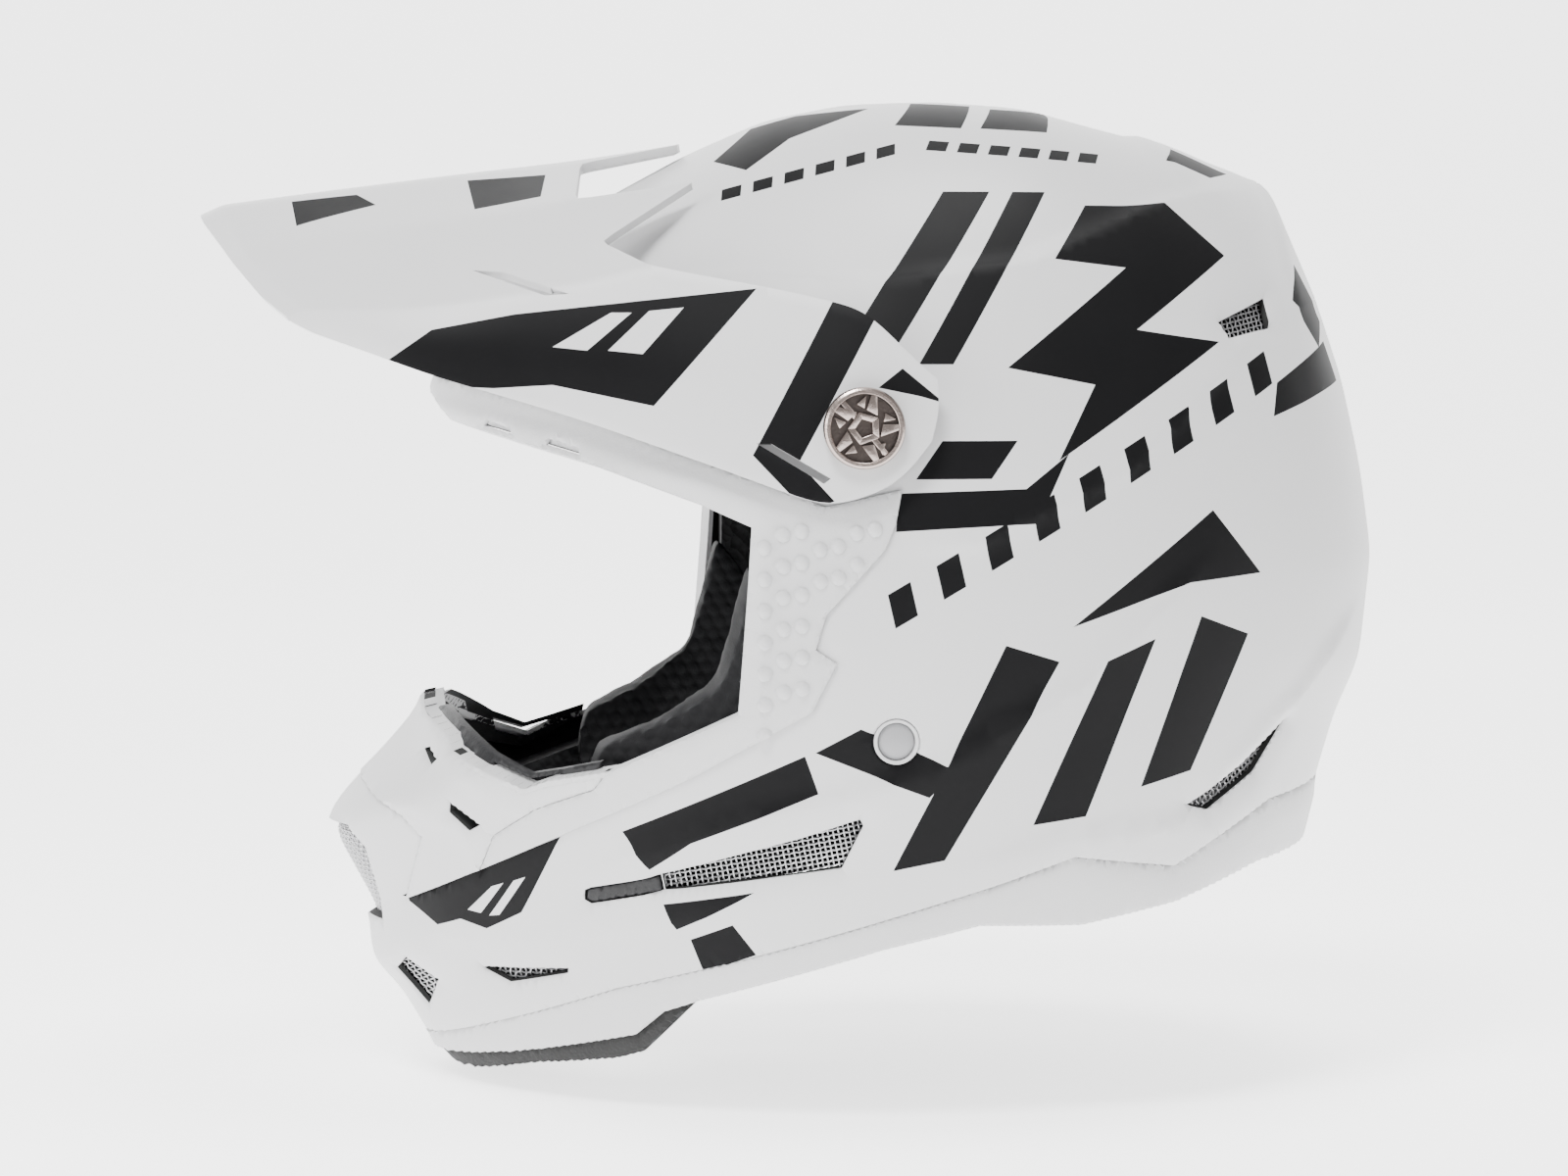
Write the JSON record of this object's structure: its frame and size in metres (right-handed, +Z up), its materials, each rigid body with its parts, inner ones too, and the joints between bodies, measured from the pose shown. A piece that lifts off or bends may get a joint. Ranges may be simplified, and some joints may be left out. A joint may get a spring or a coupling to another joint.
{
  "type": "motocross helmet",
  "caption": "Full-face off-road helmet with a tilting peak, open eyeport for goggles, mesh vents, foam liners, removable pads and a double-ring chin strap.",
  "frame": {"origin": "centre of the head space, midway between the sides, level with the widest section", "axes": "+X towards the wearer's left, -Y towards the front of the helmet, +Z up as worn"},
  "size_m": [0.2678, 0.3683, 0.3019],
  "materials": {
    "shell_paint": "satin white with black graphics",
    "visor_plastic": "satin white with black graphics",
    "edge_trim": "satin",
    "satin_black": "satin",
    "wire_mesh": "blackened",
    "liner_foam": "beaded foam",
    "pad_fabric": "quilted",
    "soft_foam": "foam",
    "webbing": "woven",
    "screw_metal": "machined",
    "rubber_part": "matt",
    "insert_metal": "turned",
    "ring_steel": "polished",
    "grey_plastic": "satin"
  },
  "bodies": {
    "helmet": {"bottom_edge_trim": "edge_trim", "cheek_pad_left": "pad_fabric", "cheek_pad_right": "pad_fabric", "cheek_vent_badge_left": "satin_black", "cheek_vent_badge_right": "satin_black", "cheek_vent_mesh_left": "wire_mesh", "cheek_vent_mesh_right": "wire_mesh", "chin_bar_foam": "liner_foam", "chin_roll": "soft_foam", "chin_strap_left": "webbing", "chin_strap_right": "webbing", "eyeport_trim": "edge_trim", "front_vent_mesh_left": "wire_mesh", "front_vent_mesh_right": "wire_mesh", "liner_dampers": "rubber_part", "lower_vent_mesh_left": "wire_mesh", "lower_vent_mesh_right": "wire_mesh", "mouth_vent_mesh": "wire_mesh", "mouthpiece": "shell_paint", "neck_roll": "pad_fabric", "nose_guard": "satin_black", "outer_foam_liner": "liner_foam", "outer_shell": "shell_paint", "rear_lower_vent_mesh_left": "wire_mesh", "rear_lower_vent_mesh_right": "wire_mesh", "rear_upper_vent_mesh_left": "wire_mesh", "rear_upper_vent_mesh_right": "wire_mesh", "rivet_cup_left": "grey_plastic", "rivet_cup_right": "grey_plastic", "strap_rivet_left": "ring_steel", "strap_rivet_right": "ring_steel", "strap_snap": "grey_plastic", "visor_insert_left": "insert_metal", "visor_insert_right": "insert_metal"},
    "inner_liner": {"inner_foam_liner": "liner_foam", "crown_pad": "pad_fabric"},
    "visor": {"visor": "visor_plastic", "visor_washer_left": "rubber_part", "visor_washer_right": "rubber_part"},
    "visor_screw_left": {"visor_screw_left": "screw_metal"},
    "visor_screw_right": {"visor_screw_right": "screw_metal"},
    "d_ring_inner": {"d_ring_inner": "ring_steel"},
    "d_ring_outer": {"d_ring_outer": "ring_steel"}
  },
  "joints": [
    {"name": "visor_tilt", "type": "hinge", "parent": "helmet", "child": "visor", "pos_m": [0, -0.0196, 0.054], "axis": [-1, 0, 0], "range_deg": [-2, 9]},
    {"name": "visor_screw_left_turn", "type": "hinge", "parent": "helmet", "child": "visor_screw_left", "pos_m": [0.1296, -0.0196, 0.054], "axis": [1, 0, 0], "continuous": true},
    {"name": "visor_screw_right_turn", "type": "hinge", "parent": "helmet", "child": "visor_screw_right", "pos_m": [-0.1296, -0.0196, 0.054], "axis": [-1, 0, 0], "continuous": true},
    {"name": "inner_liner_float", "type": "hinge", "parent": "helmet", "child": "inner_liner", "pos_m": [0, 0, 0], "axis": [1, 0, 0], "range_deg": [-0.7, 0.7], "stiffness_Nm_per_rad": 40},
    {"name": "ring_outer_swing", "type": "hinge", "parent": "helmet", "child": "d_ring_outer", "pos_m": [0.069, -0.0097, -0.0372], "axis": [0, 1, 0], "range_deg": [0, 50]},
    {"name": "ring_inner_swing", "type": "hinge", "parent": "helmet", "child": "d_ring_inner", "pos_m": [0.069, -0.0097, -0.0422], "axis": [0, 1, 0], "range_deg": [0, 50]}
  ],
  "couplings": [
    {"joint": "ring_inner_swing", "follows": "ring_outer_swing", "ratio": 1}
  ]
}
